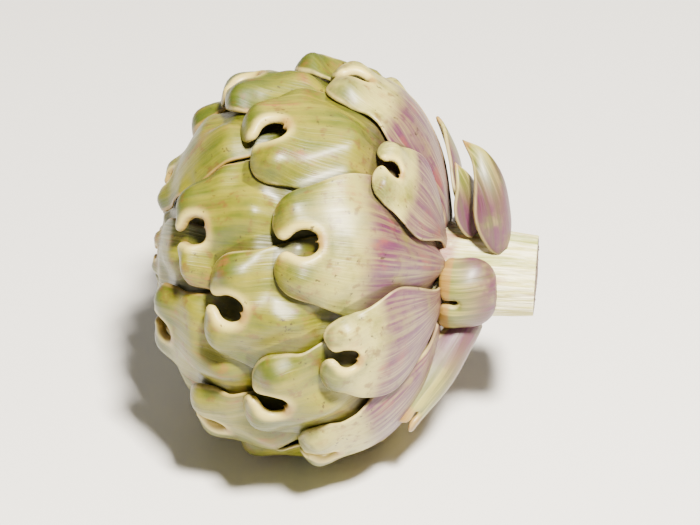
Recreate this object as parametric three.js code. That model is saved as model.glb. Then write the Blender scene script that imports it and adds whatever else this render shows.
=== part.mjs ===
// A globe artichoke that lies on its side. The stem points along +X and the closed tip along -X.
// Millimetres, +Z up, with the surface it lies on at z = 0.
//
// The bracts grow in one spiral, each a golden angle on from the last. The oldest sit by the stem
// and lie outermost. Each younger one tucks under all the older ones that cover it.

import * as THREE from "three";
import { mergeVertices } from "three/addons/utils/BufferGeometryUtils.js";

// ---- Driving dimensions ----

// The head is a flattened globe, measured from the middle of its widest ring.
const HEAD_RADIUS = 52;
const TIP_DEPTH = 41;
const BASE_DEPTH = 35;
const TIP_ROUNDNESS = 2.15;
const BASE_ROUNDNESS = 2.6;

// The bracts it lies on are pressed flat by this much.
const REST_FLAT = 2.2;
const AXIS_HEIGHT = HEAD_RADIUS - REST_FLAT;

// The stem is cut straight across, square to its length. Its ridges fade out inside the head.
const STEM_RADIUS = 11;
const STEM_LENGTH = 24;
const STEM_RIDGES = 11;
const RIDGE_HEIGHT = 0.45;
const RIDGE_FADE = 6;
const SIDES_PER_RIDGE = 4;
const NECK_DEPTH = 4;
const NECK_LENGTH = 9;
const NECK_FLARE = 1;

// The heart is the fleshy disc that the stem widens into inside the head.
const HEART_RADIUS = 21;
const HEART_TOP = 10;
const HEART_EDGE = 4;
const HEART_SHOULDER = 20;
const HEART_TOP_SHARE = 0.8;

// The bud of packed young leaves keeps clear of the heart and of the innermost bracts.
const BUD_TO_HEART = 1;
const BUD_TO_BRACTS = 1.5;
const BUD_SEGMENTS = 28;
const BUD_RINGS = 18;

// The spiral, counted from the first small collar bract. The full bracts start at FIRST_BRACT.
// From CROWN_START they close over the tip in rings that shrink by the same share each time.
const GOLDEN_ANGLE = 137.5;
const FIRST_AZIMUTH = 27;
const FIRST_BRACT = 5;
const CROWN_START = 28;
const LAST_BRACT = 44;
const TURNS_TO_TIP = 34;
const CROWDING = 0.15;
const CROWN_RADIUS = 36;
const CROWN_SHRINK = 0.875;
const CROWN_LEAST_SIZE = 0.3;
const CROWN_THINNING = 0.4;
const FIRST_SIZE = 0.8;
const SIZE_STEP = 0.04;

// Some bracts stand a few degrees off the spiral, as they do on a grown head.
const LEAN = { 5: 7, 10: 9, 11: 9, 16: 4, 26: -8, 29: -9 };

// A full-grown bract: two rounded lobes at the tip, with a notch between them.
const BRACT_HALF_WIDTH = 21;
const BRACT_FOOT_HALF_WIDTH = 9;
const SHOULDER_DOWN = 24;
const LOBE_HALF_WIDTH = 12;
const NOTCH_TO_TIP = 8;
const NOTCH_DEPTH = 11;
const NOTCH_SPAN = 0.42;
const CORNER_START = 0.5;
const CORNER_DROP = 8;
const LOBE_PUFF = 1.8;
const LOBE_ACROSS = 8.5;
const LOBE_DOWN = 6;
const LOBE_SPREAD = 7;
const BRACT_THICKNESS = 1.4;
const LAYER_PITCH = 2.7;
const TUCK_WIDTH = 13;

// The feet of the bracts start at the stem and move up the heart as the bracts get younger.
const OLDEST_FOOT_ANGLE = 160;
const YOUNGEST_FOOT_ANGLE = 88;
const LAST_FOOT_AT_STEM = 8;
const FOOT_CLIMB = 0.8;

const BRACT_COLUMNS = 8;
const BRACT_ROWS = 8;
const COLLAR_COLUMNS = 4;
const COLLAR_ROWS = 6;
const SEARCH_STEPS = 40;

const DEGREE = Math.PI / 180;
const TOWARDS_TIP = new THREE.Vector3(-1, 0, 0);

// ---- The head's outer surface ----

function smooth(value) {
  return THREE.MathUtils.smoothstep(value, 0, 1);
}

// Distance from the middle of the head to its outer surface along a direction.
function headReach(direction) {
  const towardsTip = direction.x < 0;
  const depth = towardsTip ? TIP_DEPTH : BASE_DEPTH;
  const roundness = towardsTip ? TIP_ROUNDNESS : BASE_ROUNDNESS;
  const along = Math.abs(direction.x) / depth;
  const around = Math.hypot(direction.y, direction.z) / HEAD_RADIUS;
  return (along ** roundness + around ** roundness) ** (-1 / roundness);
}

// The same, stopped at the surface that the head lies on.
function restingReach(direction, reach) {
  const floor = direction.z < 0 ? AXIS_HEIGHT / -direction.z : Infinity;
  return Math.min(reach, floor);
}

// The point of the head's outline at an angle from the tip, in the plane of the axis.
function outlinePoint(angle) {
  const direction = new THREE.Vector3(-Math.cos(angle), Math.sin(angle), 0);
  return direction.multiplyScalar(headReach(direction));
}

// The angle from the tip, up to a limit, at which a measure of the outline passes a value.
function angleWhere(measure, value, limit) {
  let low = 0;
  let high = limit;
  for (let step = 0; step < SEARCH_STEPS; step += 1) {
    const middle = (low + high) / 2;
    if (measure(outlinePoint(middle)) < value) low = middle;
    else high = middle;
  }
  return (low + high) / 2;
}

// ---- One bract ----

class Bract {
  constructor(index) {
    this.index = index;
    const azimuth = (FIRST_AZIMUTH - GOLDEN_ANGLE * index + (LEAN[index] ?? 0)) * DEGREE;
    this.outward = new THREE.Vector3(0, -Math.cos(azimuth), Math.sin(azimuth));
    this.across = new THREE.Vector3(0, Math.sin(azimuth), Math.cos(azimuth));

    // The outermost bracts are a little smaller, and those of the crown shrink towards its middle.
    const crownShare = CROWN_SHRINK ** Math.max(0, index - CROWN_START);
    const growth = Math.min(1, FIRST_SIZE + SIZE_STEP * (index - FIRST_BRACT));
    this.size = growth * Math.max(CROWN_LEAST_SIZE, crownShare);
    const notchAngle = this.notchAngle(crownShare);
    this.reach = outlinePoint(notchAngle).length();
    this.tipAngle = notchAngle - (NOTCH_TO_TIP * this.size) / this.reach;

    const youth = Math.max(0, index - LAST_FOOT_AT_STEM) / (LAST_BRACT - LAST_FOOT_AT_STEM);
    const climb = youth ** FOOT_CLIMB;
    const footAngle = THREE.MathUtils.lerp(OLDEST_FOOT_ANGLE, YOUNGEST_FOOT_ANGLE, climb) * DEGREE;
    this.length = (footAngle - this.tipAngle) * this.reach;
    const thinning = THREE.MathUtils.lerp(CROWN_THINNING, 1, crownShare);
    this.thickness = BRACT_THICKNESS * thinning;
    this.pitch = LAYER_PITCH * thinning;
    this.tuck = TUCK_WIDTH * thinning;
  }

  // Where along the head the notch comes: evenly over the sides, then in ever closer rings.
  notchAngle(crownShare) {
    if (this.index >= CROWN_START) {
      return angleWhere((point) => point.y, CROWN_RADIUS * crownShare, Math.PI / 2);
    }
    const share = this.index / TURNS_TO_TIP;
    const linear = 1 - CROWDING;
    const fraction = (Math.sqrt(linear ** 2 + 4 * CROWDING * share) - linear) / (2 * CROWDING);
    const along = BASE_DEPTH - fraction * (TIP_DEPTH + BASE_DEPTH);
    return angleWhere((point) => point.x, along, Math.PI);
  }

  // Half the bract's width at a distance down from its tip.
  halfWidth(down) {
    const scaled = down / this.size;
    if (scaled < SHOULDER_DOWN) {
      const rise = Math.sin((Math.max(0, scaled) / SHOULDER_DOWN) * (Math.PI / 2));
      return this.size * THREE.MathUtils.lerp(LOBE_HALF_WIDTH, BRACT_HALF_WIDTH, rise);
    }
    const shoulder = SHOULDER_DOWN * this.size;
    const fall = smooth((down - shoulder) / (this.length - shoulder));
    return this.size * THREE.MathUtils.lerp(BRACT_HALF_WIDTH, BRACT_FOOT_HALF_WIDTH, fall);
  }

  // How far down the upper edge lies at a place across, from -1 to 1: two lobes and the notch.
  edgeDown(place) {
    const away = Math.abs(place);
    const notch = NOTCH_DEPTH * (1 - smooth(away / NOTCH_SPAN));
    const corner = CORNER_DROP * Math.max(0, (away - CORNER_START) / (1 - CORNER_START)) ** 2;
    return this.size * (notch + corner);
  }

  // The direction from the head's middle to a place on the bract, in millimetres from its tip.
  direction(across, down) {
    const angle = this.tipAngle + down / this.reach;
    const turn = across / this.reach;
    return new THREE.Vector3()
      .addScaledVector(TOWARDS_TIP, Math.cos(angle) * Math.cos(turn))
      .addScaledVector(this.outward, Math.sin(angle) * Math.cos(turn))
      .addScaledVector(this.across, Math.sin(turn));
  }

  // The same in reverse: the place on the bract that a direction meets.
  place(direction) {
    const angle = Math.atan2(direction.dot(this.outward), direction.dot(TOWARDS_TIP));
    const turn = Math.asin(THREE.MathUtils.clamp(direction.dot(this.across), -1, 1));
    return { across: turn * this.reach, down: (angle - this.tipAngle) * this.reach };
  }

  // 1 where the bract covers what is under it, easing to 0 around it.
  cover(direction) {
    const { across, down } = this.place(direction);
    const side = this.halfWidth(down) + this.tuck - Math.abs(across);
    const top = down + this.tuck;
    const foot = this.length + this.tuck - down;
    return smooth(side / this.tuck) * smooth(top / this.tuck) * smooth(foot / this.tuck);
  }

  // How far the two lobes stand proud at a place on the bract.
  puff(across, down) {
    const sideways = (Math.abs(across) / this.size - LOBE_ACROSS) / LOBE_SPREAD;
    const lengthways = (down / this.size - LOBE_DOWN) / LOBE_SPREAD;
    return LOBE_PUFF * this.size * Math.exp(-(sideways ** 2) - lengthways ** 2);
  }
}

// Depth below the head's outer surface that a list of older bracts presses a direction to.
function pressedDepth(older, direction) {
  return older.reduce((depth, bract) => depth + bract.pitch * bract.cover(direction), 0);
}

// The share of a direction that no older bract covers.
function openShare(older, direction) {
  return older.reduce((share, bract) => share * (1 - bract.cover(direction)), 1);
}

// A closed geometry with each of its points moved by a function.
function movedPoints(source, move) {
  source.deleteAttribute("normal");
  source.deleteAttribute("uv");
  const geometry = mergeVertices(source);
  const points = geometry.attributes.position;
  for (let index = 0; index < points.count; index += 1) {
    const moved = move(new THREE.Vector3().fromBufferAttribute(points, index));
    points.setXYZ(index, moved.x, moved.y, moved.z);
  }
  geometry.computeVertexNormals();
  return geometry;
}

// A closed slab of columns and rows, bent by a function of a point's place across (-1 to 1), its
// place along (0 at the foot, 1 at the tip) and whether it is on the outer face.
function bentSlab(columns, rows, bend) {
  const slab = new THREE.BoxGeometry(2, 1, 1, columns, rows, 1);
  return movedPoints(slab, (point) => bend(point.x, point.y + 0.5, point.z > 0));
}

function bractGeometry(bract, older) {
  return bentSlab(BRACT_COLUMNS, BRACT_ROWS, (place, along, onOuterFace) => {
    const edge = bract.edgeDown(place);
    const down = THREE.MathUtils.lerp(bract.length, edge, along);
    const across = place * bract.halfWidth(down);
    const direction = bract.direction(across, down);
    const puff = bract.puff(across, down) * openShare(older, direction);
    const surface = restingReach(direction, headReach(direction));
    const outer = restingReach(direction, surface - pressedDepth(older, direction) + puff);
    return direction.multiplyScalar(onOuterFace ? outer : outer - bract.thickness);
  });
}

// ---- The small bracts around the top of the stem ----

// Each follows a line in the plane of the axis, from its foot on the stem to its tip. The line's
// points are [distance along the axis, distance from the axis].
const COLLAR_BRACTS = [
  { azimuth: 8, width: 15, path: [[41, 12.4], [39, 14.6], [37.6, 17.6], [36.2, 21]] },
  { azimuth: 108, width: 13, path: [[45, 12.4], [44.2, 19], [40.4, 26], [34.5, 32.5]] },
  { azimuth: 84, width: 12, path: [[40, 12.6], [38.2, 18], [36, 25], [32.4, 33]] },
  { azimuth: 134, width: 17, path: [[39.6, 12.6], [37, 20], [34.4, 30], [28.5, 40.5]] },
  { azimuth: -46, width: 15, path: [[41.6, 12.6], [38.6, 19], [34.4, 30], [27, 41.5]] },
  { azimuth: -110, width: 15, path: [[40.6, 12.6], [38, 19], [35.8, 26], [31.6, 34]] },
  { azimuth: 197, width: 16, path: [[41, 12.6], [38.6, 19], [36, 26], [31, 35]] },
];
const COLLAR_THICKNESS = 1.6;
const COLLAR_FOOT_SHARE = 0.38;
const COLLAR_TIP_SHARE = 0.25;
const COLLAR_SWELL = 0.8;

function collarGeometry({ azimuth, width, path }) {
  const line = new THREE.CatmullRomCurve3(path.map(([x, radius]) => new THREE.Vector3(x, radius, 0)));
  return bentSlab(COLLAR_COLUMNS, COLLAR_ROWS, (place, along, onOuterFace) => {
    const centre = line.getPoint(along);
    const forward = line.getTangent(along);
    const swell = Math.sin(Math.PI * along ** COLLAR_SWELL);
    const endShare = THREE.MathUtils.lerp(COLLAR_FOOT_SHARE, COLLAR_TIP_SHARE, along);
    const halfWidth = (width / 2) * THREE.MathUtils.lerp(endShare, 1, swell);
    const lift = onOuterFace ? COLLAR_THICKNESS : 0;
    const x = centre.x + forward.y * lift;
    const radius = centre.y - forward.x * lift;
    const angle = azimuth * DEGREE + (place * halfWidth) / centre.y;
    return new THREE.Vector3(x, -radius * Math.cos(angle), radius * Math.sin(angle));
  });
}

// ---- Stem with heart, and the packed bud ----

function stemGeometry() {
  const cut = BASE_DEPTH + STEM_LENGTH;
  const neck = BASE_DEPTH - NECK_DEPTH;
  const neckEnd = neck + NECK_LENGTH;
  const profile = [
    [0, HEART_TOP],
    [HEART_RADIUS * HEART_TOP_SHARE, HEART_TOP],
    [HEART_RADIUS, HEART_TOP + HEART_EDGE],
    [HEART_RADIUS, HEART_SHOULDER],
    [STEM_RADIUS + NECK_FLARE, neck],
    [STEM_RADIUS, neckEnd],
    [STEM_RADIUS, (neckEnd + cut) / 2],
    [STEM_RADIUS, cut],
    [0, cut],
  ].map(([radius, x]) => new THREE.Vector2(radius, x));
  const turned = new THREE.LatheGeometry(profile, STEM_RIDGES * SIDES_PER_RIDGE);
  turned.rotateZ(-Math.PI / 2);
  return movedPoints(turned, (point) => {
    const angle = Math.atan2(point.z, point.y);
    const ridge = RIDGE_HEIGHT * Math.cos(STEM_RIDGES * angle) * smooth((point.x - neck) / RIDGE_FADE);
    const scale = 1 + ridge / STEM_RADIUS;
    return new THREE.Vector3(point.x, point.y * scale, point.z * scale);
  });
}

// The youngest leaves, packed into one tight bud that fills the head down to the heart.
function budGeometry(bracts) {
  const ball = new THREE.SphereGeometry(1, BUD_SEGMENTS, BUD_RINGS);
  ball.rotateZ(Math.PI / 2);
  const base = HEART_TOP - BUD_TO_HEART;
  return movedPoints(ball, (point) => {
    const direction = point.clone().normalize();
    const surface = restingReach(direction, headReach(direction));
    const packed = surface - pressedDepth(bracts, direction) - BUD_TO_BRACTS;
    const toHeart = direction.x > 0 ? base / direction.x : Infinity;
    return direction.multiplyScalar(Math.min(packed, toHeart));
  });
}

// ---- Materials ----

function skin(color, roughness) {
  return new THREE.MeshStandardMaterial({ color, roughness, metalness: 0 });
}

function bractColour(index) {
  const oldest = new THREE.Color(0xc9bf9e);
  const youngest = new THREE.Color(0x9aa866);
  return oldest.lerp(youngest, (index - FIRST_BRACT) / (LAST_BRACT - FIRST_BRACT));
}

// ---- The whole artichoke ----

function addPiece(parent, name, geometry, material) {
  const mesh = new THREE.Mesh(geometry, material);
  mesh.name = name;
  parent.add(mesh);
}

const head = new THREE.Group();
addPiece(head, "stem_and_heart", stemGeometry(), skin(0xdfe0b8, 0.5));

const bracts = [];
for (let index = FIRST_BRACT; index <= LAST_BRACT; index += 1) {
  const bract = new Bract(index);
  const name = `bract_${String(index - FIRST_BRACT + 1).padStart(2, "0")}`;
  addPiece(head, name, bractGeometry(bract, bracts), skin(bractColour(index), 0.45));
  bracts.push(bract);
}

COLLAR_BRACTS.forEach((collar, index) => {
  addPiece(head, `collar_bract_${index + 1}`, collarGeometry(collar), skin(0x9a7686, 0.5));
});

addPiece(head, "inner_bud", budGeometry(bracts), skin(0xa9ae6c, 0.55));

// The origin is under the middle of the whole artichoke, on the surface that it lies on.
head.position.z = AXIS_HEIGHT;
head.updateMatrixWorld(true);
const middle = new THREE.Box3().setFromObject(head, true).getCenter(new THREE.Vector3());
head.position.x = -middle.x;
head.position.y = -middle.y;

const artichoke = new THREE.Group();
artichoke.add(head);

export default artichoke;
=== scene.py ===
"""A globe artichoke on its side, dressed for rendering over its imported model."""

import math

import bmesh
import bpy
import numpy as np
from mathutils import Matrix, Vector
from mathutils.geometry import delaunay_2d_cdt


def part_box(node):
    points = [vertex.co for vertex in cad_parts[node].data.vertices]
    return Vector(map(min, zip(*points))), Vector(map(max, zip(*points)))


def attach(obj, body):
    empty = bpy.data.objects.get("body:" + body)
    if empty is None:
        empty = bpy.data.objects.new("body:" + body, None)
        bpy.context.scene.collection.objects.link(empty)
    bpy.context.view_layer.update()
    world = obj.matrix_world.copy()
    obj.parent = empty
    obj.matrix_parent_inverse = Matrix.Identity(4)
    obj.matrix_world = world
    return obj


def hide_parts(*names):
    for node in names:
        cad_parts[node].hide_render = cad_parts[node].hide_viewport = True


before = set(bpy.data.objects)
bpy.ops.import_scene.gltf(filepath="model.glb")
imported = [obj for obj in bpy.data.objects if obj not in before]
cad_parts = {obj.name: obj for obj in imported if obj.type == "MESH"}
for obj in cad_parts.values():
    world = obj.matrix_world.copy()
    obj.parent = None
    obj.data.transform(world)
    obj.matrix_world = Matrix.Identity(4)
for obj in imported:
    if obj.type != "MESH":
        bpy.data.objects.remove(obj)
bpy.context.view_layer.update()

MM = 0.001
SEED = 11

# ---- The head, in millimetres from the middle of its widest ring ----

HEART_TOP = 10
BASE_DEPTH = 35
TIP_DEPTH = 41
HEAD_RADIUS = 52
TIP_ROUNDNESS = 2.15
BASE_ROUNDNESS = 2.6

stem_low, stem_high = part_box("stem_and_heart")
AXIS_HEIGHT = (stem_low.z + stem_high.z) / 2 / MM
HEAD_MIDDLE = np.array(
    [stem_low.x / MM - HEART_TOP, (stem_low.y + stem_high.y) / 2 / MM, AXIS_HEIGHT]
)
STEM_END = stem_high.x / MM - HEAD_MIDDLE[0]

# ---- The spiral of bracts ----

# Angles are in degrees. Each bract's index counts up from the stem to the tip.
GOLDEN_ANGLE = 137.5
FIRST_AZIMUTH = 27
FIRST_BRACT = 5
CROWN_START = 28
LAST_BRACT = 44
TURNS_TO_TIP = 34
CROWDING = 0.15
CROWN_RADIUS = 36
CROWN_SHRINK = 0.875
CROWN_LEAST_SIZE = 0.3
CROWN_THINNING = 0.4
# How far some bracts lean round the head from their place in the spiral.
LEAN = {5: 7, 10: 9, 11: 9, 16: 4, 26: -10, 29: -3}
# How far some notches are turned. The rest are turned at random, up to the limit.
NOTCH_TURN = {5: 10, 8: 18, 10: 0, 11: 6, 13: -12, 16: 24, 18: -32, 21: 16, 26: -16}
TURN_LIMIT = 20
TURN_RADIUS = 17

# A full-grown bract, in millimetres. Smaller ones are scaled from it.
NOTCH_TO_TIP = 8
LOBE_HALF_WIDTH = 12
SHOULDER_HALF_WIDTH = 21
SHOULDER_DOWN = 24
FOOT_HALF_WIDTH = 9
OLDEST_FOOT_ANGLE = 160
YOUNGEST_FOOT_ANGLE = 88
LAST_FOOT_AT_STEM = 13
FOOT_CURVE = 0.8
# The oldest bracts are smaller, and narrower at the foot, than those after them.
FIRST_SIZE = 0.64
SIZE_STEP = 0.045
FIRST_FOOT_SHARE = 0.35
FOOT_WIDENS_OVER = 8
LAYER_PITCH = 2.1
BODY_THICKNESS = 1.6
SIDE_THINNING = 0.45
LOBE_THICKNESS = 3.6
TUCK_WIDTH = 7
POCKET_DEPTH = 3.6
POCKET_RADIUS = 5.0
POCKET_DOWN = 6.5

# The right half of the tip's outline, in millimetres across and down from the tip of the lobes:
# the foot of the notch, its narrower mouth, the rounded lobe and its shoulder.
TIP_OUTLINE = [
    (0.0, 10.2), (0.5, 11.0), (2.1, 10.6), (3.2, 8.6), (3.0, 6.2),
    (1.8, 4.2), (1.4, 2.6), (2.5, 0.7), (5.6, -0.6), (9.6, 0.2),
    (12.8, 2.8), (14.6, 6.8), (16.0, 11.5), (18.2, 17.5), (20.2, 24.0),
]
NOTCH_POINTS = 6
STEPS_BETWEEN_POINTS = 5
# The lobes of a bract are each longer or shorter than the outline says by up to this much.
LOBE_CHANGE = 1.3
LOBE_CHANGE_ACROSS = 7
LOBE_CHANGE_SPREAD = 5
LOBE_CHANGE_REACH = 14

# The relief of a full-grown bract, in millimetres: its plump lobes, the raised lip round the
# notch, the gentle crown of its body, its edge that turns in, and its unevenness.
LOBE_PUFF = 3.2
LOBE_ACROSS, LOBE_ACROSS_SPREAD = 8.6, 5.4
LOBE_DOWN, LOBE_DOWN_SPREAD = 5.6, 6
LIP_RISE = 1.6
LIP_WIDTH = 3.1
BODY_CROWN = 0.9
CROWN_WIDTH = 12
CROWN_FROM, CROWN_FADE = 8, 12
RIM_TURN = 1.6
RIM_WIDTH = 2.6
RIM_UNTIL, RIM_FADE = 15, 7
UNEVENNESS = 0.3
WAVE_LENGTH = 24
# The tips of young bracts stand off the layer below.
YOUNG_TIP_LIFT = 1.8
TIP_LIFT_REACH = 6
TIP_LIFT_FROM, TIP_LIFT_OVER = 18, 8
BUD_CLEARANCE = 0.8

# Where a bract's colours lie, in millimetres on a full-grown one.
PALE_LIP_WIDTH = 2.3
MARGIN_WIDTH = 0.7
DARK_LOBE_REACH = 11
NOTCH_FOOT_DOWN = 11.6
NOTCH_FOOT_SPREAD = 1.9
NOTCH_FOOT_STRETCH = 1.5
FLUSH_FROM, FLUSH_FADE = 12, 16
# Where they lie along the head, in millimetres from its middle towards the stem.
FLUSH_ALONG, FLUSH_ALONG_FADE = 8, 18
PALE_ALONG, PALE_ALONG_FADE = 14, 30
# Which bracts they reach, as indexes in the spiral.
PALE_UNTIL, PALE_OVER = 18, 10
BROWN_EDGES_FROM, BROWN_EDGES_OVER = 17, 14

# The leaf meshes. One unit of the grain map spans this many millimetres.
GRAIN_SPAN = 60
# The rows of points that round off an edge, the grid inside them, and its coarser hidden part.
EDGE_ROWS = (0.25, 0.7, 1.3)
GRID_SPACING = 1.2
LEAST_SPACING = 0.8
COARSE_FROM = 34
HEXAGON_ROW = 0.87


def smooth(value):
    """Eases from 0 to 1 as the value does."""
    value = np.clip(value, 0, 1)
    return value * value * (3 - 2 * value)


def bell(distance, width):
    """1 at no distance, falling to nothing over about twice the width."""
    return np.exp(-((distance / width) ** 2))


def head_reach(direction):
    """Distance from the middle of the head to its outer surface along each direction."""
    towards_tip = direction[..., 0] < 0
    depth = np.where(towards_tip, TIP_DEPTH, BASE_DEPTH)
    roundness = np.where(towards_tip, TIP_ROUNDNESS, BASE_ROUNDNESS)
    along = np.abs(direction[..., 0]) / depth
    around = np.hypot(direction[..., 1], direction[..., 2]) / HEAD_RADIUS
    return (along**roundness + around**roundness) ** (-1 / roundness)


def floor_reach(direction):
    """Distance from the middle of the head down to the surface that it lies on."""
    down = np.maximum(-direction[..., 2], 1e-6)
    return np.where(direction[..., 2] < 0, AXIS_HEIGHT / down, np.inf)


def outline_point(angle):
    direction = np.array([-math.cos(angle), math.sin(angle), 0.0])
    return direction * head_reach(direction)


def angle_where(axis, value, limit):
    """The angle from the tip at which the head's outline passes a value along an axis."""
    low, high = 0.0, limit
    for _ in range(40):
        middle = (low + high) / 2
        if outline_point(middle)[axis] < value:
            low = middle
        else:
            high = middle
    return (low + high) / 2


def rounded_line(points, steps):
    """A Catmull-Rom curve through the points, as an array."""
    points = np.array(points, float)
    ends = np.vstack([2 * points[0] - points[1], points, 2 * points[-1] - points[-2]])
    t = np.linspace(0, 1, steps, endpoint=False)[:, None]
    runs = []
    for a, b, c, d in zip(ends, ends[1:], ends[2:], ends[3:]):
        bend = (2 * a - 5 * b + 4 * c - d) * t**2 + (3 * b - a - 3 * c + d) * t**3
        runs.append((2 * b + (c - a) * t + bend) / 2)
    return np.vstack(runs + [points[-1:]])


def distance_to_line(points, line):
    """The distance of each point to the nearest place on a line of short segments."""
    start, run = line[:-1], np.diff(line, axis=0)
    offset = points[:, None, :] - start[None]
    length = np.maximum((run**2).sum(1), 1e-12)
    share = np.clip((offset * run).sum(2) / length, 0, 1)
    return np.sqrt(((offset - share[..., None] * run) ** 2).sum(2).min(1))


class Bract:
    """One bract's place in the spiral, its outline and how it presses on what is under it."""

    def __init__(self, index):
        self.index = index
        self.random = np.random.default_rng(SEED + index)
        azimuth = math.radians(FIRST_AZIMUTH - GOLDEN_ANGLE * index + LEAN.get(index, 0))
        self.outward = np.array([0, -math.cos(azimuth), math.sin(azimuth)])
        self.sideways = np.array([0, math.sin(azimuth), math.cos(azimuth)])
        crown_share = CROWN_SHRINK ** max(0, index - CROWN_START)
        growth = min(1.0, FIRST_SIZE + SIZE_STEP * (index - FIRST_BRACT))
        self.size = growth * max(CROWN_LEAST_SIZE, crown_share)
        notch_angle = self.notch_angle(crown_share)
        self.reach = float(np.linalg.norm(outline_point(notch_angle)))
        self.tip_angle = notch_angle - NOTCH_TO_TIP * self.size / self.reach
        youth = max(0, index - LAST_FOOT_AT_STEM) / (LAST_BRACT - LAST_FOOT_AT_STEM)
        foot_range = YOUNGEST_FOOT_ANGLE - OLDEST_FOOT_ANGLE
        foot = OLDEST_FOOT_ANGLE + foot_range * youth**FOOT_CURVE
        self.length = (math.radians(foot) - self.tip_angle) * self.reach
        from_first = min(1.0, (index - FIRST_BRACT) / FOOT_WIDENS_OVER)
        foot_share = FIRST_FOOT_SHARE + (1 - FIRST_FOOT_SHARE) * from_first
        self.foot_half_width = FOOT_HALF_WIDTH * foot_share
        self.thinning = CROWN_THINNING + (1 - CROWN_THINNING) * crown_share
        self.pitch = LAYER_PITCH * self.thinning
        self.tuck = TUCK_WIDTH * self.thinning
        turn = self.random.uniform(-TURN_LIMIT, TURN_LIMIT)
        self.turn = math.radians(NOTCH_TURN.get(index, turn))
        self.lobe_change = self.random.uniform(-LOBE_CHANGE, LOBE_CHANGE, 2)
        self.tip_lift = YOUNG_TIP_LIFT * float(smooth((index - TIP_LIFT_FROM) / TIP_LIFT_OVER))

    def notch_angle(self, crown_share):
        """The angle of the notch's place from the tip. The notches crowd towards the tip."""
        if self.index >= CROWN_START:
            return angle_where(1, CROWN_RADIUS * crown_share, math.pi / 2)
        linear = 1 - CROWDING
        share = self.index / TURNS_TO_TIP
        fraction = (math.sqrt(linear**2 + 4 * CROWDING * share) - linear) / (2 * CROWDING)
        return angle_where(0, BASE_DEPTH - fraction * (TIP_DEPTH + BASE_DEPTH), math.pi)

    def half_width(self, down):
        """Half the bract's width at each distance down from its tip."""
        scaled = np.clip(down / self.size, 0, SHOULDER_DOWN)
        rise = np.sin(scaled / SHOULDER_DOWN * (math.pi / 2))
        upper = LOBE_HALF_WIDTH + (SHOULDER_HALF_WIDTH - LOBE_HALF_WIDTH) * rise
        shoulder = SHOULDER_DOWN * self.size
        fall = smooth((down - shoulder) / (self.length - shoulder))
        return self.size * (upper + (self.foot_half_width - SHOULDER_HALF_WIDTH) * fall)

    def direction(self, across, down):
        """The directions from the head's middle to places on the bract."""
        angle = (self.tip_angle + down / self.reach)[:, None]
        turn = (across / self.reach)[:, None]
        towards_tip = np.array([-1.0, 0, 0])
        flat = np.cos(angle) * towards_tip + np.sin(angle) * self.outward
        return np.cos(turn) * flat + np.sin(turn) * self.sideways

    def place(self, direction):
        """Where directions from the head's middle lie, across and down the bract."""
        angle = np.arctan2(direction @ self.outward, -direction[:, 0])
        turn = np.arcsin(np.clip(direction @ self.sideways, -1, 1))
        return turn * self.reach, (angle - self.tip_angle) * self.reach

    def cover(self, direction):
        """1 where the bract covers what is under it, easing to 0 around it."""
        across, down = self.place(direction)
        side = self.half_width(down) + self.tuck - np.abs(across)
        top = down + self.tuck
        foot = self.length + self.tuck - down
        return smooth(side / self.tuck) * smooth(top / self.tuck) * smooth(foot / self.tuck)

    def pocket(self, direction):
        """The hollow that is left under the notch."""
        across, down = self.place(direction)
        away = np.hypot(across, down - POCKET_DOWN * self.size)
        return POCKET_DEPTH * self.size * bell(away, POCKET_RADIUS * self.size)

    def outline(self):
        """The whole outline as (across, down), and the stretch of it that is the notch."""
        half = np.array(TIP_OUTLINE) * self.size
        downs = np.linspace(SHOULDER_DOWN * self.size + 4, self.length, 9)
        side = np.column_stack([self.half_width(downs), downs])
        halves = []
        for hand, change in zip((1, -1), self.lobe_change):
            line = half.copy()
            lobe = bell(line[:, 0] / self.size - LOBE_CHANGE_ACROSS, LOBE_CHANGE_SPREAD)
            near_tip = smooth(1 - line[:, 1] / (LOBE_CHANGE_REACH * self.size))
            line[:, 1] -= change * self.size * lobe * near_tip
            line = rounded_line(np.vstack([line, side]), STEPS_BETWEEN_POINTS)
            line[:, 0] *= hand
            halves.append(line)
        notch_steps = NOTCH_POINTS * STEPS_BETWEEN_POINTS
        ring = np.vstack([halves[0], halves[1][:0:-1]])
        notch = np.vstack([halves[1][notch_steps:0:-1], halves[0][: notch_steps + 1]])
        return self.turned(ring, self.turn), self.turned(notch, self.turn)

    def turned(self, points, turn):
        """Points near the notch are turned about it, and those far from it stay."""
        centre = np.array([0, NOTCH_TO_TIP * self.size])
        offset = points - centre
        near = bell(np.linalg.norm(offset, axis=1), TURN_RADIUS * self.size)
        cos, sin = np.cos(turn * near), np.sin(turn * near)
        across = offset[:, 0] * cos - offset[:, 1] * sin
        down = offset[:, 0] * sin + offset[:, 1] * cos
        return centre + np.column_stack([across, down])


bracts = [Bract(index) for index in range(FIRST_BRACT, LAST_BRACT + 1)]


def pressed_depth(older, direction):
    """How far the older bracts press a direction below the head's outer surface."""
    depth = np.zeros(len(direction))
    for bract in older:
        depth += bract.pitch * bract.cover(direction) + bract.pocket(direction)
    return depth


def open_share(older, direction):
    """1 where no older bract covers a direction, easing to 0 where one does."""
    share = np.ones(len(direction))
    for bract in older:
        share *= 1 - bract.cover(direction)
    return share


def nearest_cover(older, direction):
    """1 under the older bracts, easing to 0 around each of them."""
    cover = np.zeros(len(direction))
    for bract in older:
        cover = np.maximum(cover, bract.cover(direction))
    return cover


# ---- Meshes ----


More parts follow.
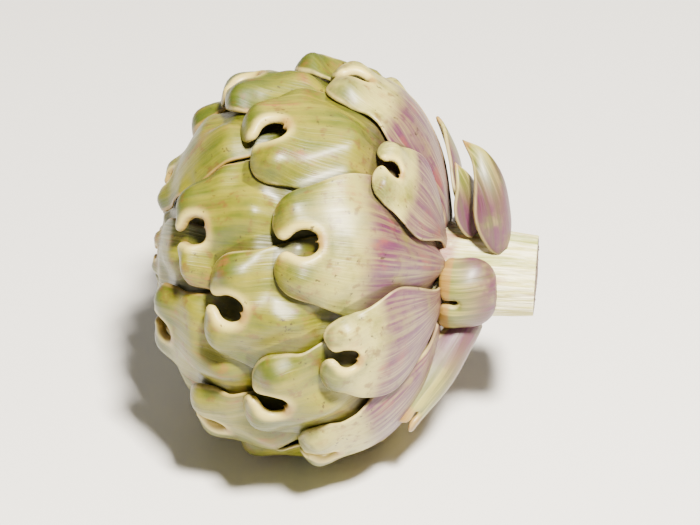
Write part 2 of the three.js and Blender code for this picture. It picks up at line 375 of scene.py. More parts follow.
def make_object(name, verts, faces):
    """A smooth closed mesh from vertices in millimetres from the head's middle, faces outwards."""
    verts = np.asarray(verts)
    corners = verts[np.array([face[:3] for face in faces])]
    volume = (corners[:, 0] * np.cross(corners[:, 1], corners[:, 2])).sum()
    if volume < 0:
        faces = [face[::-1] for face in faces]
    mesh = bpy.data.meshes.new(name)
    mesh.from_pydata(((verts + HEAD_MIDDLE) * MM).tolist(), [], faces)
    mesh.shade_smooth()
    made = bpy.data.objects.new(name, mesh)
    bpy.context.scene.collection.objects.link(made)
    return made


def finish_piece(made, material, slot, *nodes):
    """Gives a piece its material, hangs it from the root body and hides the imported parts that it
    stands in for.
    """
    made.data.materials.clear()
    made.data.materials.append(material)
    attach(made, "root")
    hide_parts(*nodes)


def filled_outline(ring, spacing, coarse_from):
    """Triangles that fill an outline: rows close to its edge and a hexagonal grid inside."""
    following = np.roll(ring, -1, axis=0) - np.roll(ring, 1, axis=0)
    following /= np.linalg.norm(following, axis=1)[:, None]
    inward = np.column_stack([-following[:, 1], following[:, 0]])
    closed = np.vstack([ring, ring[:1]])
    points = [ring]
    for depth in EDGE_ROWS:
        row = ring + inward * depth
        points.append(row[distance_to_line(row, closed) > depth * 0.93])
    low, high = ring.min(0), ring.max(0)
    for number, down in enumerate(np.arange(low[1], high[1], spacing * HEXAGON_ROW)):
        coarse = down > coarse_from
        if coarse and number % 2:
            continue
        columns = np.arange(low[0], high[0], spacing * (2 if coarse else 1))
        shift = spacing / 2 if number % 2 else 0
        row = np.column_stack([columns + shift, np.full(len(columns), down)])
        points.append(row[distance_to_line(row, closed) > EDGE_ROWS[-1] + 0.4])
    flat = [Vector(point) for point in np.vstack(points)]
    loop = [(number, (number + 1) % len(ring)) for number in range(len(ring))]
    verts, _, faces, *_ = delaunay_2d_cdt(flat, loop, [list(range(len(ring)))], 1, 1e-5)
    return np.array([tuple(vert) for vert in verts]), np.array([list(face) for face in faces])


def make_leaf(name, ring, spacing, coarse_from, skin_at):
    """A closed leaf with rounded edges, from its outline.

    skin_at takes how far each point is across and down the leaf and from its edge. It gives the
    middle of the leaf there, the way out through it, its full thickness and its painted marks.
    """
    closed = np.vstack([ring, ring[:1]])
    if (closed[:-1, 0] * closed[1:, 1] - closed[1:, 0] * closed[:-1, 1]).sum() < 0:
        ring, closed = ring[::-1], closed[::-1]
    places, faces = filled_outline(ring, spacing, coarse_from)
    edge = distance_to_line(places, closed)
    middle, outward, full, marks = skin_at(places[:, 0], places[:, 1], edge)
    roundness = np.clip(edge / (0.7 * full), 0, 1)
    half = (full / 2 * np.sqrt(1 - (1 - roundness) ** 2))[:, None] * outward

    # The two skins share their vertices at the edge.
    count = len(places)
    under = np.arange(count) + count
    on_edge = edge < 1e-4
    under[on_edge] = np.flatnonzero(on_edge)
    used = np.unique(np.concatenate([np.arange(count), under]))
    renumber = np.zeros(2 * count, int)
    renumber[used] = np.arange(len(used))
    verts = np.vstack([middle + half, middle - half])[used]
    both = np.vstack([renumber[faces], renumber[under[faces[:, ::-1]]]])
    made = make_object(name, verts, both.tolist())

    source = used % count
    corners = np.array([loop.vertex_index for loop in made.data.loops])
    grain = np.column_stack([0.5 + marks.pop("fan") / GRAIN_SPAN, places[:, 1] / GRAIN_SPAN])
    layer = made.data.uv_layers.new(name="grain")
    layer.data.foreach_set("uv", grain[source][corners].astype(np.float32).ravel())
    for mark, values in marks.items():
        attribute = made.data.attributes.new(mark, "FLOAT", "POINT")
        attribute.data.foreach_set("value", values[source].astype(np.float32))
    return made


# ---- Materials ----


def colour(value):
    """A linear colour from an sRGB hex value."""
    parts = [(value >> shift & 255) / 255 for shift in (16, 8, 0)]
    linear = [
        part / 12.92 if part <= 0.04045 else ((part + 0.055) / 1.055) ** 2.4 for part in parts
    ]
    return (*linear, 1.0)


def add_node(tree, kind, inputs=None, **settings):
    """Adds a node with its settings. Each input gets a socket to follow or a value to hold."""
    made = tree.nodes.new(kind)
    for key, value in settings.items():
        setattr(made, key, value)
    for key, value in (inputs or {}).items():
        if isinstance(value, bpy.types.NodeSocket):
            tree.links.new(value, made.inputs[key])
        else:
            made.inputs[key].default_value = value
    return made


def make_skin(name, base, layers, grain, roughness, bump_mm, surface):
    """A skin of colours laid over one another, with a raised grain.

    A layer is a colour, its strength and the marks that let it show. A mark is what it follows,
    its size and the two values between which it eases from 0 to 1. It follows veins down a leaf,
    fibres along the stem, clouds, or a mark painted on the mesh. Sizes are in millimetres.
    """
    material = bpy.data.materials.new(name)
    material.use_nodes = True
    tree = material.node_tree
    tree.nodes.clear()
    on_leaf = add_node(tree, "ShaderNodeUVMap", uv_map="grain").outputs["UV"]
    in_space = add_node(tree, "ShaderNodeTexCoord").outputs["Object"]

    def mark(follows, size, low, high, top=1.0, bottom=0.0):
        if follows == "painted":
            value = add_node(tree, "ShaderNodeAttribute", attribute_name=size).outputs["Fac"]
        else:
            place = on_leaf if follows == "veins" else in_space
            unit = GRAIN_SPAN if follows == "veins" else 1 / MM
            scale = tuple(unit / part for part in size)
            shift = tuple(SEED * part / unit for part in size)
            placed = add_node(
                tree, "ShaderNodeMapping", {"Vector": place, "Scale": scale, "Location": shift}
            )
            noise = {"Vector": placed.outputs[0], "Scale": 1.0, "Detail": 4.0, "Roughness": 0.58}
            value = add_node(tree, "ShaderNodeTexNoise", noise).outputs["Fac"]
        eased = {"Value": value, "From Min": low, "From Max": high, "To Min": bottom, "To Max": top}
        return add_node(
            tree, "ShaderNodeMapRange", eased, interpolation_type="SMOOTHSTEP"
        ).outputs[0]

    skin = colour(base)
    for over, strength, *marks in layers:
        share = mark(*marks[0], strength)
        for another in marks[1:]:
            share = add_node(
                tree, "ShaderNodeMath", {0: share, 1: mark(*another)}, operation="MULTIPLY"
            ).outputs[0]
        mixed = {0: share, 6: skin, 7: colour(over)}
        skin = add_node(tree, "ShaderNodeMix", mixed, data_type="RGBA").outputs[2]
    raised = mark(*grain, 0.3, 0.7)
    bump = add_node(
        tree, "ShaderNodeBump", {"Height": raised, "Strength": 0.6, "Distance": bump_mm * MM}
    )
    shine = mark(*grain, 0.3, 0.7, *roughness)
    inputs = {"Base Color": skin, "Roughness": shine, "Normal": bump.outputs[0], **surface}
    shader = add_node(tree, "ShaderNodeBsdfPrincipled", inputs)
    add_node(tree, "ShaderNodeOutputMaterial", {"Surface": shader.outputs[0]})
    return material


# What marks follow and their sizes, in millimetres: across and down a leaf for veins.
VEINS = ("veins", (1.1, 26, 1))
BROAD_VEINS = ("veins", (4.0, 46, 1))
CLOUDS = ("clouds", (13, 13, 13))
PATCHES = ("clouds", (9, 9, 9))
FRECKLES = ("clouds", (3.2, 3.2, 3.2))
SPECKS = ("clouds", (1.8, 1.8, 1.8))
# The flush is drawn out along the veins, stronger on some than on others.
FLUSHED_VEINS = (*VEINS, 0.3, 0.6, 1.0, 0.6)
# Light goes a few millimetres into the flesh of a leaf.
LEAF_FLESH = {
    "IOR": 1.45, "Subsurface Weight": 0.04, "Subsurface Radius": (0.003, 0.003, 0.001),
}

# Bract skin: thick green leaf under a dry bloom of wax. The bloom gives broad silvery highlights,
# drawn out along the fine veins that fan from the foot. Anthocyanin in the stem-side skin gives
# the mauve flush, corky lips round the notches are cream, and knocks leave brown freckles.
bract_skin = make_skin(
    "waxy bract skin",
    0x455006,
    [
        (0x6C6A0A, 1.0, (*CLOUDS, 0.34, 0.64)),
        (0x948822, 0.65, (*BROAD_VEINS, 0.36, 0.72)),
        # Paler towards the stem and on the older bracts: partly their own tone, partly a painted
        # highlight on the stem side, which the key lamp lights.
        (0xC2B86C, 0.78, ("painted", "pale", 0.1, 0.9), (*PATCHES, 0.2, 0.56)),
        (0x3A4706, 0.8, ("painted", "lobe", 0.1, 0.9), (*CLOUDS, 0.68, 0.4)),
        (0x5E3C10, 0.6, (*FRECKLES, 0.55, 0.69)),
        (0x4E0A3E, 0.96, ("painted", "flush", 0.04, 0.55), (*PATCHES, 0.12, 0.5), FLUSHED_VEINS),
        (0x8A4424, 0.55, (*PATCHES, 0.54, 0.72), (*VEINS, 0.35, 0.6)),
        (0xDECA6E, 0.7, ("painted", "lip", 0.1, 0.95)),
        (0xD6C27A, 0.5, ("painted", "margin", 0.3, 0.95), (*PATCHES, 0.3, 0.6)),
        (0x7C5A12, 0.7, ("painted", "margin", 0.2, 0.9), ("painted", "youth", 0.0, 1.0)),
        (0x7A4606, 0.65, ("painted", "notch_foot", 0.1, 0.9)),
        (0x2C1B06, 0.8, (*SPECKS, 0.64, 0.71)),
        # Painted shade: darkens the skin that older bracts cover, which shows in the notch holes
        # and as thin dark lines along their edges.
        (0x2E3006, 0.6, ("painted", "painted_crevice_shade", 0.96, 1.0)),
    ],
    VEINS,
    (0.56, 0.38),
    0.14,
    {**LEAF_FLESH, "Coat Weight": 0.38, "Coat Roughness": 0.36},
)

# Collar skin: the same leaf, younger and sheltered by the head, so most of it is flushed.
collar_skin = make_skin(
    "flushed collar skin",
    0x565C12,
    [
        (0x9A9344, 0.9, (*VEINS, 0.40, 0.64)),
        (0xCFC793, 0.85, ("painted", "pale", 0.0, 1.0)),
        (0x4E0A3E, 0.95, ("painted", "flush", 0.1, 0.7), (*PATCHES, 0.15, 0.5), FLUSHED_VEINS),
        (0xC9BB74, 0.5, ("painted", "margin", 0.4, 0.95)),
        (0x9A5E28, 0.5, ("painted", "point", 0.3, 0.9)),
    ],
    VEINS,
    (0.55, 0.42),
    0.2,
    {**LEAF_FLESH, "Coat Weight": 0.4, "Coat Roughness": 0.34},
)

# Stem flesh: pale, ribbed and woody. Its fibres catch the light as fine lengthways lines. The cut
# end has dried to brown, darkest at its rim.
stem_skin = make_skin(
    "ribbed stem flesh",
    0xC9C27A,
    [
        (0xF3EDC6, 0.9, ("fibres", (50, 1.1, 1.1), 0.4, 0.6)),
        (0x8A9438, 0.75, ("fibres", (70, 5, 5), 0.54, 0.68)),
        (0x9C6442, 0.75, ("fibres", (45, 3.5, 3.5), 0.57, 0.68)),
        (0x8A4E55, 0.8, ("painted", "neck", 0.1, 0.9), (*PATCHES, 0.45, 0.6)),
        (0x4E300A, 1.0, ("painted", "cut", 0.4, 0.6)),
        (0x8A6C34, 0.8, ("painted", "cut", 0.4, 0.6), ("clouds", (1.6, 1.6, 1.6), 0.45, 0.65)),
        (0x2E1A04, 0.85, ("painted", "rim", 0.1, 0.8), ("painted", "cut", 0.4, 0.6)),
    ],
    ("fibres", (40, 1.0, 1.0)),
    (0.6, 0.42),
    0.5,
    {"IOR": 1.45, "Subsurface Weight": 0.08, "Subsurface Radius": (0.004, 0.003, 0.001)},
)

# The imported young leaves: thin, shaded and a little dried at their edges.
bud_skin = make_skin(
    "young leaf skin",
    0x6B6B32,
    [
        (0xA89B5E, 0.9, ("clouds", (4, 4, 4), 0.35, 0.65)),
        (0x7A4A3C, 0.6, (*PATCHES, 0.5, 0.7)),
    ],
    ("clouds", (1.5, 1.5, 1.5)),
    (0.62, 0.5),
    0.2,
    {"IOR": 1.42},
)


# ---- Bracts ----


def waves(random, across, down, length):
    """Gentle unevenness, of about one millimetre, that differs from bract to bract."""
    total = np.zeros(len(across))
    for _ in range(5):
        turn = random.uniform(0, 2 * math.pi)
        run = (across * math.cos(turn) + down * math.sin(turn)) * 2 * math.pi / length
        total += np.sin(run * random.uniform(0.7, 1.6) + random.uniform(0, 6.28))
    return total / 5


def make_bract(bract, older):
    """One full bract, pressed by the older ones that lie over it."""
    ring, notch = bract.outline()
    size = bract.size

    def skin_at(across, down, edge):
        to_notch = distance_to_line(np.column_stack([across, down]), notch) / size
        direction = bract.direction(across, down)
        bare = open_share(older, direction)
        fan_place = across / bract.half_width(down)
        straight = bract.turned(np.column_stack([across, down]), -bract.turn) / size
        scaled_across, scaled_down = np.abs(straight[:, 0]), straight[:, 1]
        from_lobe = (scaled_across - LOBE_ACROSS) / LOBE_ACROSS_SPREAD
        below_lobe = (scaled_down - LOBE_DOWN) / LOBE_DOWN_SPREAD
        lobe = np.exp(-(from_lobe**2) - below_lobe**2)
        lip = bell(to_notch, LIP_WIDTH)
        rim = bell(edge, RIM_WIDTH * size) * smooth((RIM_UNTIL - scaled_down) / RIM_FADE)
        crown = bell(scaled_across, CROWN_WIDTH) * smooth((scaled_down - CROWN_FROM) / CROWN_FADE)
        relief = (
            LOBE_PUFF * lobe + LIP_RISE * lip + BODY_CROWN * crown - RIM_TURN * rim * (1 - lip)
        )
        relief = relief * size + UNEVENNESS * waves(bract.random, across, down, WAVE_LENGTH)

        surface = np.minimum(head_reach(direction), floor_reach(direction))
        standing = bract.tip_lift * size * bell(scaled_down, TIP_LIFT_REACH)
        outer = surface - pressed_depth(older, direction) + (relief + standing) * bare
        outer = np.minimum(outer, floor_reach(direction))
        body = BODY_THICKNESS * bract.thinning * (1 - SIDE_THINNING * smooth(fan_place**2))
        full = body + (LOBE_THICKNESS * size - body) * np.maximum(lobe, lip) * bare
        middle_reach = (outer - full / 2)[:, None]

        along_head = direction[:, 0] * outer
        at_foot = smooth((scaled_down - FLUSH_FROM) / FLUSH_FADE)
        at_foot = at_foot * smooth((along_head - FLUSH_ALONG) / FLUSH_ALONG_FADE)
        notch_foot = np.hypot(scaled_across / NOTCH_FOOT_STRETCH, scaled_down - NOTCH_FOOT_DOWN)
        # The pale mark is partly the older bracts' own paler tone and partly a painted highlight on
        # the stem side, which the key lamp lights.
        oldest = smooth((PALE_UNTIL - bract.index) / PALE_OVER)
        pale = smooth((along_head + PALE_ALONG) / PALE_ALONG_FADE) * (0.18 + 0.82 * oldest)
        youth = smooth((bract.index - BROWN_EDGES_FROM) / BROWN_EDGES_OVER)
        marks = {
            "fan": fan_place * SHOULDER_HALF_WIDTH,
            "lip": bell(to_notch, PALE_LIP_WIDTH),
            "margin": bell(edge, MARGIN_WIDTH),
            "flush": at_foot * (0.6 + 0.4 * fan_place**2),
            "pale": pale,
            # Painted shade, darkest where older bracts cover the skin and just outside their edges.
            "painted_crevice_shade": nearest_cover(older, direction),
            "youth": np.full(len(across), youth),
            "lobe": bell(scaled_down, DARK_LOBE_REACH),
            "notch_foot": bell(notch_foot, NOTCH_FOOT_SPREAD),
        }
        return direction * middle_reach, direction, full, marks

    name = f"bract_{bract.index - FIRST_BRACT + 1:02d}"
    spacing = max(LEAST_SPACING, GRID_SPACING * size)
    made = make_leaf(f"{name}_leaf", ring, spacing, COARSE_FROM * size, skin_at)
    finish_piece(made, bract_skin, "bract", name)


for position, bract in enumerate(bracts):
    make_bract(bract, bracts[:position])


# ---- The small bracts round the top of the stem ----

# Each follows a line beside the axis, as [distance along it, distance from it], while its
# azimuth goes from its foot's to its tip's. Its twist turns its face about that line.
COLLAR_BRACTS = [
    {
        "azimuths": (10, 6), "width": 24, "plump": 5.4, "cup": 0.02, "notched": True, "pale": 0.15,
        "path": [[46.8, 11.2], [45.6, 14.2], [42.5, 16.0], [38.6, 16.8], [36.6, 16.6]],
    },
    {
        "azimuths": (66, 100), "width": 10.5, "plump": 1.7, "twist": -42, "cup": 0.09,
        "path": [[49.0, 11.6], [48.6, 19], [46.6, 27], [42.5, 33.5], [37.5, 36.5]],
    },
    {
        "azimuths": (84, 94), "width": 8.5, "plump": 1.5, "twist": -36, "cup": 0.06,
        "path": [[41.5, 12.6], [40.6, 19], [38.8, 26], [35.8, 32]],
    },
    {
        "azimuths": (134, 134), "width": 17, "plump": 1.8, "cup": 0.02,
        "path": [[39.6, 12.6], [37, 20], [34.4, 30], [28.5, 40.5]],
    },
    {
        "azimuths": (-40, -42), "width": 15, "plump": 3.2, "twist": 38, "cup": 0.1,
        "notched": True, "pale": 0.2,
        "path": [[43.5, 12.6], [40.6, 19], [36, 29], [28.4, 40.5]],
    },
    {
        "azimuths": (-110, -110), "width": 15, "plump": 1.8, "cup": 0.02,
        "path": [[40.6, 12.6], [38, 19], [35.8, 26], [31.6, 34]],
    },
    {
        "azimuths": (197, 197), "width": 16, "plump": 1.8, "cup": 0.02,
        "path": [[41, 12.6], [38.6, 19], [36, 26], [31, 35]],
    },
]


def make_collar_bract(
    number, azimuths, width, plump, cup, path, twist=0, notched=False, pale=0.0
):
    """A small leaf with a thick foot, hollow towards the head. Its tip is pointed or notched."""
    random = np.random.default_rng(SEED * 7 + number)
    line = rounded_line(path, 20)
    travelled = np.concatenate([[0], np.cumsum(np.linalg.norm(np.diff(line, axis=0), axis=1))])
    length = travelled[-1]
    share = np.linspace(0, 1, 15)
    if notched:
        half = width / 2 * (0.4 + 0.6 * np.sin(math.pi / 2 * np.minimum(share * 1.5, 1)) ** 0.7)
        end = half[-1]
        tip = [(end * 0.93, length + 1.2), (end * 0.7, length + 2.4), (end * 0.35, length + 2.6)]
        tip += [(1.0, length + 1.6), (0.45, length), (0.75, length - 1.8), (0.0, length - 2.6)]
    else:
        swell = np.sin(math.pi * share**0.85) ** 0.9
        half = width / 2 * np.maximum(0.28 * (1 - share) + swell, 0.05)
        tip = [(0.0, length + 0.4)]
    side = np.column_stack([half, share * length])
    right = rounded_line(np.vstack([side, tip]), 4)
    left = right[::-1] * (-1, 1)
    ring = np.vstack([right, left[1:]])
    phase = random.uniform(0, 6)
    turned = math.radians(twist)

    def skin_at(across, down, edge):
        along = np.clip(down, 0, length)
        centre = np.column_stack([np.interp(along, travelled, line[:, k]) for k in (0, 1)])
        ahead = np.column_stack([np.interp(along + 0.5, travelled, line[:, k]) for k in (0, 1)])
        behind = np.column_stack([np.interp(along - 0.5, travelled, line[:, k]) for k in (0, 1)])
        forward = ahead - behind
        forward /= np.linalg.norm(forward, axis=1)[:, None]
        centre = centre + forward * (down - along)[:, None]
        rise = down / length
        place = across / (width / 2)
        wave = 0.3 * np.sin(place * 3 + rise * 7 + phase) * np.clip(rise, 0, 1)
        lift = 0.8 - cup * across**2 + wave
        azimuth = np.radians(azimuths[0] + (azimuths[1] - azimuths[0]) * rise)
        turn = azimuth + across * math.cos(turned) / centre[:, 1]
        radial = np.column_stack([np.zeros(len(turn)), -np.cos(turn), np.sin(turn)])
        sideways = np.column_stack([np.zeros(len(turn)), np.sin(turn), np.cos(turn)])
        axial = np.array([1.0, 0, 0])
        through = forward[:, 1:] * axial - forward[:, :1] * radial
        outward = through * math.cos(turned) + sideways * math.sin(turned)
        middle = centre[:, :1] * axial + centre[:, 1:] * radial + outward * lift[:, None]
        middle = middle - through * (across * math.sin(turned))[:, None]
        full = plump * (1 - 0.3 * np.clip(rise, 0, 1)) * (1 - 0.3 * place**2)
        marks = {
            "fan": across,
            "flush": np.clip(1.0 - rise + 0.35 * place**2, 0, 1) * (1 - pale),
            "pale": np.full(len(across), pale),
            "margin": bell(edge, MARGIN_WIDTH),
            "point": smooth((rise - 0.85) / 0.15),
        }
        return middle, outward, full, marks

    name = f"collar_bract_{number}"
    made = make_leaf(f"{name}_leaf", ring, LEAST_SPACING, length, skin_at)
    finish_piece(made, collar_skin, "collar_bract", name)


for number, collar in enumerate(COLLAR_BRACTS, start=1):
    make_collar_bract(number, **collar)


# ---- Stem and heart ----

STEM_SIZES = {
    "Heart top": HEART_TOP + 0.5,
    "Heart radius": 20.7,
    "Heart shoulder": 20.0,
    "Neck": 31.0,
    "Neck radius": 13.4,
    "Stem radius": 10.8,
    "Taper": 2.6,
    "Cut": STEM_END,
    "Cut crown": 0.5,
    "Rib height": 0.6,
    "Rib spacing": 4.0,
    "Bundle ring radius": 8.0,
    "Bundle radius": 0.3,
    "Bundle scatter": 0.7,
}
STEM_SIDES = 176
STEM_RINGS = 110
STEM_BUNDLES = 26
# The share of the rings that make the side. The rest close the cut end, and the first few of
# those are its darker rim.
SIDE_SHARE = 0.88
RIM_SHARE = 0.03
# The ribs are full, and the neck's blush begins and ends, this far from the head's middle.
RIBS_FULL = 37
BLUSH_NONE, BLUSH_FULL = 41, 34
RIB_STRETCH = 0.05

MATH = "ShaderNodeMath"
VECTOR_MATH = "ShaderNodeVectorMath"
MAP_RANGE = "ShaderNodeMapRange"
SET_POSITION = "GeometryNodeSetPosition"
STORE_MARK = "GeometryNodeStoreNamedAttribute"
REALIZE = "GeometryNodeRealizeInstances"


def grow_stem():
    """The ribbed stem from the heart to its cut end, with the ends of its bundles of vessels."""
    tree = bpy.data.node_groups.new("ribbed stem growth", "GeometryNodeTree")
    kinds = dict.fromkeys(STEM_SIZES, "Float")
    kinds |= {"Seed": "Int", "Middle": "Vector", "Skin": "Material"}
    for name, kind in kinds.items():
        tree.interface.new_socket(name, in_out="INPUT", socket_type=f"NodeSocket{kind}")
    tree.interface.new_socket("Stem", in_out="OUTPUT", socket_type="NodeSocketGeometry")
    given = add_node(tree, "NodeGroupInput").outputs

    # A line along the axis carries each ring's radius. Its last rings shrink to close the end.
    line = add_node(tree, "GeometryNodeCurvePrimitiveLine", {"Start": (0, 0, 0), "End": (1, 0, 0)})
    rings = add_node(
        tree, "GeometryNodeResampleCurve",
        {"Curve": line.outputs[0], "Count": STEM_RINGS},
        mode="COUNT",
    )
    index = add_node(tree, "GeometryNodeInputIndex").outputs[0]
    share = add_node(tree, MATH, {0: index, 1: STEM_RINGS - 1}, operation="DIVIDE").outputs[0]
    side_end = add_node(
        tree, MATH, {0: given["Cut"], 1: given["Cut crown"]}, operation="SUBTRACT"
    ).outputs[0]
    side = {
        "Value": share, "From Max": SIDE_SHARE, "To Min": given["Heart top"], "To Max": side_end,
    }
    end = {"Value": share, "From Min": SIDE_SHARE, "To Max": given["Cut crown"]}
    along = add_node(
        tree, MATH,
        {0: add_node(tree, MAP_RANGE, side).outputs[0],
         1: add_node(tree, MAP_RANGE, end).outputs[0]},
        operation="ADD",
    ).outputs[0]
    profile = add_node(
        tree, MAP_RANGE,
        {"Value": along, "From Min": given["Heart shoulder"], "From Max": given["Neck"],
         "To Min": given["Heart radius"], "To Max": given["Neck radius"]},
        interpolation_type="SMOOTHSTEP",
    )
    taper = add_node(
        tree, MAP_RANGE,
        {"Value": along, "From Min": given["Neck"], "From Max": given["Cut"],
         "To Min": 0.0, "To Max": given["Taper"]},
    )
    profile = add_node(
        tree, MATH, {0: profile.outputs[0], 1: taper.outputs[0]}, operation="SUBTRACT"
    )
    closing = add_node(
        tree, MAP_RANGE, {"Value": share, "From Min": SIDE_SHARE, "To Min": 1.0, "To Max": 0.0}
    )
    radius = add_node(
        tree, MATH, {0: profile.outputs[0], 1: closing.outputs[0]}, operation="MULTIPLY"
    )
    place = add_node(tree, "ShaderNodeCombineXYZ", {"X": along})
    rings = add_node(
        tree, SET_POSITION, {"Geometry": rings.outputs[0], "Position": place.outputs[0]}
    )
    cut_mark = {"Value": share, "From Min": SIDE_SHARE, "From Max": SIDE_SHARE + 0.01}
    rim_mark = {
        "Value": share, "From Min": SIDE_SHARE + RIM_SHARE, "From Max": SIDE_SHARE, "To Max": 1.0,
    }
    stem = rings.outputs[0]
    for mark, eased in (("cut", cut_mark), ("rim", rim_mark)):
        value = add_node(tree, MAP_RANGE, eased).outputs[0]
        stored = {"Geometry": stem, "Name": mark, "Value": value}
        stem = add_node(tree, STORE_MARK, stored).outputs[0]
    circle = add_node(
        tree, "GeometryNodeCurvePrimitiveCircle", {"Resolution": STEM_SIDES, "Radius": 1.0}
    )
    stem = add_node(
        tree, "GeometryNodeCurveToMesh",
        {"Curve": stem, "Profile Curve": circle.outputs[0], "Scale": radius.outputs[0],
         "Fill Caps": True},
    ).outputs[0]
    stem = add_node(
        tree, "GeometryNodeMergeByDistance", {"Geometry": stem, "Distance": 0.01 * MM}
    ).outputs[0]

    # Ribs: noise drawn out along the stem pushes its side in and out, beyond the neck.
    position = add_node(tree, "GeometryNodeInputPosition").outputs[0]
    drawn_out = add_node(
        tree, VECTOR_MATH, {0: position, 1: (RIB_STRETCH, 1, 1)}, operation="MULTIPLY"
    )
    spaced = add_node(
        tree, VECTOR_MATH, {0: drawn_out.outputs[0], 1: given["Rib spacing"]}, operation="DIVIDE"
    )
    noise = add_node(
        tree, "ShaderNodeTexNoise",
        {"Vector": spaced.outputs[0], "W": given["Seed"], "Scale": 1.0, "Detail": 3.0,
         "Roughness": 0.6},
        noise_dimensions="4D",
    )
    height = add_node(
        tree, MAP_RANGE,
        {"Value": noise.outputs["Fac"], "From Min": 0.3, "From Max": 0.7, "To Min": -1.0},
    )
    along_stem = add_node(tree, "ShaderNodeSeparateXYZ", {0: position}).outputs["X"]
    beyond = add_node(
        tree, MAP_RANGE,
        {"Value": along_stem, "From Min": given["Neck"], "From Max": RIBS_FULL * MM,
         "To Max": given["Rib height"]},
        interpolation_type="SMOOTHSTEP",
    )
    push = add_node(
        tree, MATH, {0: height.outputs[0], 1: beyond.outputs[0]}, operation="MULTIPLY"
    )
    outward = add_node(tree, VECTOR_MATH, {0: position, 1: (0, 1, 1)}, operation="MULTIPLY")
    outward = add_node(
        tree, VECTOR_MATH, {0: outward.outputs[0], 1: given["Stem radius"]}, operation="DIVIDE"
    )
    push = add_node(
        tree, VECTOR_MATH, {0: outward.outputs[0], "Scale": push.outputs[0]}, operation="SCALE"
    )
    stem = add_node(tree, SET_POSITION, {"Geometry": stem, "Offset": push.outputs[0]}).outputs[0]
    neck_mark = add_node(
        tree, MAP_RANGE,
        {"Value": along_stem, "From Min": BLUSH_NONE * MM, "From Max": BLUSH_FULL * MM},
        interpolation_type="SMOOTHSTEP",
    )
    stored = {"Geometry": stem, "Name": "neck", "Value": neck_mark.outputs[0]}
    stem = add_node(tree, STORE_MARK, stored).outputs[0]

    # The ends of the bundles of vessels stand out of the cut as a ring of small beads.
    ring = add_node(
        tree, "GeometryNodeMeshCircle",
        {"Vertices": STEM_BUNDLES, "Radius": given["Bundle ring radius"]},
    )
    scatter = add_node(
        tree, "FunctionNodeRandomValue",
        {0: (-1, -1, 0), 1: (1, 1, 0), "Seed": given["Seed"]},
        data_type="FLOAT_VECTOR",
    )
    scatter = add_node(
        tree, VECTOR_MATH,
        {0: scatter.outputs[0], "Scale": given["Bundle scatter"]},
        operation="SCALE",
    )
    ring = add_node(
        tree, SET_POSITION, {"Geometry": ring.outputs[0], "Offset": scatter.outputs[0]}
    )
    bead = add_node(
        tree, "GeometryNodeMeshIcoSphere", {"Radius": given["Bundle radius"], "Subdivisions": 2}
    )
    growth = add_node(
        tree, "FunctionNodeRandomValue", {2: 0.6, 3: 1.3, "Seed": given["Seed"]}, data_type="FLOAT"
    )
    beads = add_node(
        tree, "GeometryNodeInstanceOnPoints",
        {"Points": ring.outputs[0], "Instance": bead.outputs[0], "Scale": growth.outputs[1]},
    )
    beads = add_node(tree, REALIZE, {"Geometry": beads.outputs[0]}).outputs[0]
    for mark in ("cut", "rim"):
        stored = {"Geometry": beads, "Name": mark, "Value": 1.0}
        beads = add_node(tree, STORE_MARK, stored).outputs[0]
    at_cut = add_node(tree, "ShaderNodeCombineXYZ", {"X": side_end})
    beads = add_node(
        tree, "GeometryNodeTransform",
        {"Geometry": beads, "Translation": at_cut.outputs[0], "Rotation": (0, math.pi / 2, 0)},
    )

    joined = add_node(tree, "GeometryNodeJoinGeometry", {0: stem})
    tree.links.new(beads.outputs[0], joined.inputs[0])
    moved = add_node(
        tree, "GeometryNodeTransform",
        {"Geometry": joined.outputs[0], "Translation": given["Middle"]},
    )
    plain = add_node(tree, REALIZE, {"Geometry": moved.outputs[0]})
    skinned = add_node(
        tree, "GeometryNodeSetMaterial", {"Geometry": plain.outputs[0], "Material": given["Skin"]}
    )
    add_node(tree, "NodeGroupOutput", {0: skinned.outputs[0]})
    return tree


def make_stem():
    """The stem's tree is evaluated once and kept as a plain mesh."""
    made = bpy.data.objects.new("stem_flesh", bpy.data.meshes.new("stem_flesh"))
    bpy.context.scene.collection.objects.link(made)
    grown = made.modifiers.new("growth", "NODES")
    grown.node_group = grow_stem()
    values = {name: size * MM for name, size in STEM_SIZES.items()}
    values |= {"Seed": SEED, "Middle": (HEAD_MIDDLE * MM).tolist(), "Skin": stem_skin}
    for item in grown.node_group.interface.items_tree:
        if item.name in values:
            grown[item.identifier] = values[item.name]
    evaluated = made.evaluated_get(bpy.context.evaluated_depsgraph_get())
    mesh = bpy.data.meshes.new_from_object(evaluated)
    made.modifiers.clear()
    made.data = mesh
    mesh.shade_smooth()
    finish_piece(made, stem_skin, "stem_flesh", "stem_and_heart")


make_stem()


# ---- The bud of packed young leaves ----


def make_bud():
    """What the bracts leave inside them, down to the heart, as the youngest leaves pack it."""
    shape = bmesh.new()
    bmesh.ops.create_icosphere(shape, subdivisions=6, radius=1)
    direction = np.array([vert.co for vert in shape.verts])
    faces = [[vert.index for vert in face.verts] for face in shape.faces]
    shape.free()
    direction /= np.linalg.norm(direction, axis=1)[:, None]
    surface = np.minimum(head_reach(direction), floor_reach(direction))
    packed = surface - pressed_depth(bracts, direction) - BUD_CLEARANCE
    to_heart = (HEART_TOP - BUD_CLEARANCE) / np.maximum(direction[:, 0], 1e-6)
    reach = np.minimum(packed, np.where(direction[:, 0] > 0, to_heart, np.inf))
    made = make_object("packed_young_leaves", direction * reach[:, None], faces)
    finish_piece(made, bud_skin, "young_bud", "inner_bud")


make_bud()

# ---- Stage ----

FLOOR_HALF = 2.0
FLOOR_CORNERS = [(-1, -1), (1, -1), (1, 1), (-1, 1)]
VIEW_AZIMUTH = math.radians(7)
VIEW_ELEVATION = math.radians(35)
VIEW_DISTANCE = 0.62
VIEW_LENS = 120
target = Vector((0, 0, AXIS_HEIGHT * MM))

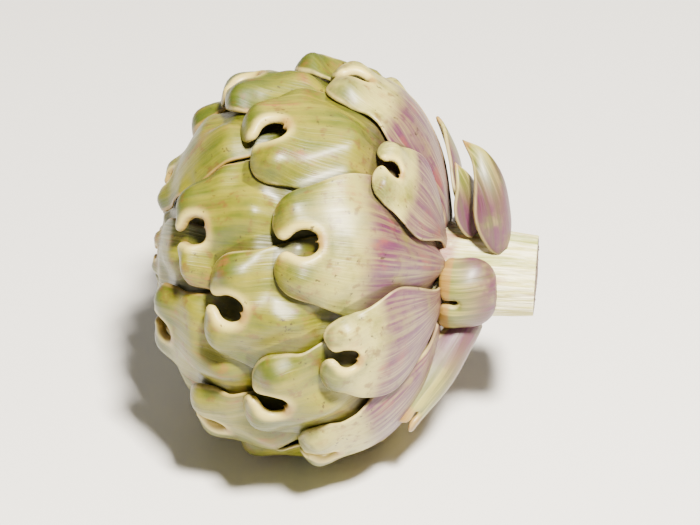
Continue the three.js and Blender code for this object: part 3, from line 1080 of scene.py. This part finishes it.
floor_mesh = bpy.data.meshes.new("floor")
floor_mesh.from_pydata(
    [(x * FLOOR_HALF, y * FLOOR_HALF, 0) for x, y in FLOOR_CORNERS], [], [(0, 1, 2, 3)]
)
floor = bpy.data.objects.new("floor", floor_mesh)
bpy.context.scene.collection.objects.link(floor)
floor_material = bpy.data.materials.new("pale floor")
floor_material.use_nodes = True
tree = floor_material.node_tree
tree.nodes.clear()
shader = add_node(
    tree, "ShaderNodeBsdfPrincipled", {"Base Color": colour(0xE4E2DE), "Roughness": 0.7}
)
add_node(tree, "ShaderNodeOutputMaterial", {"Surface": shader.outputs[0]})
floor_mesh.materials.append(floor_material)


def towards(azimuth, elevation):
    """The direction to a place seen at an azimuth and an elevation, in radians."""
    level = math.cos(elevation)
    return Vector((math.sin(azimuth) * level, -math.cos(azimuth) * level, math.sin(elevation)))


def stand_at(made, away, distance):
    """Puts a camera or a lamp out along a direction from the head, facing it."""
    made.location = target + away * distance
    made.rotation_euler = away.to_track_quat("Z", "Y").to_euler()
    bpy.context.scene.collection.objects.link(made)


def add_lamp(name, azimuth, elevation, distance, size, power, tint):
    """A square lamp. Angles are in degrees, lengths in metres and power in watts."""
    lamp_data = bpy.data.lights.new(name, "AREA")
    lamp_data.size = size
    lamp_data.energy = power
    lamp_data.color = tint
    away = towards(math.radians(azimuth), math.radians(elevation))
    stand_at(bpy.data.objects.new(name, lamp_data), away, distance)


camera_data = bpy.data.cameras.new("camera")
camera_data.lens = VIEW_LENS
camera = bpy.data.objects.new("camera", camera_data)
stand_at(camera, towards(VIEW_AZIMUTH, VIEW_ELEVATION), VIEW_DISTANCE)
bpy.context.scene.camera = camera

add_lamp("key", 32, 62, 1.0, 0.14, 58, (1.0, 0.94, 0.84))
add_lamp("fill", -60, 30, 1.2, 0.9, 0.7, (1.0, 0.92, 0.8))
add_lamp("rim", 190, 40, 1.2, 0.8, 2, (1.0, 0.96, 0.9))

world = bpy.data.worlds.new("studio")
world.use_nodes = True
sky = world.node_tree.nodes["Background"].inputs
sky["Color"].default_value = (1.0, 0.96, 0.9, 1)
sky["Strength"].default_value = 0.16
bpy.context.scene.world = world
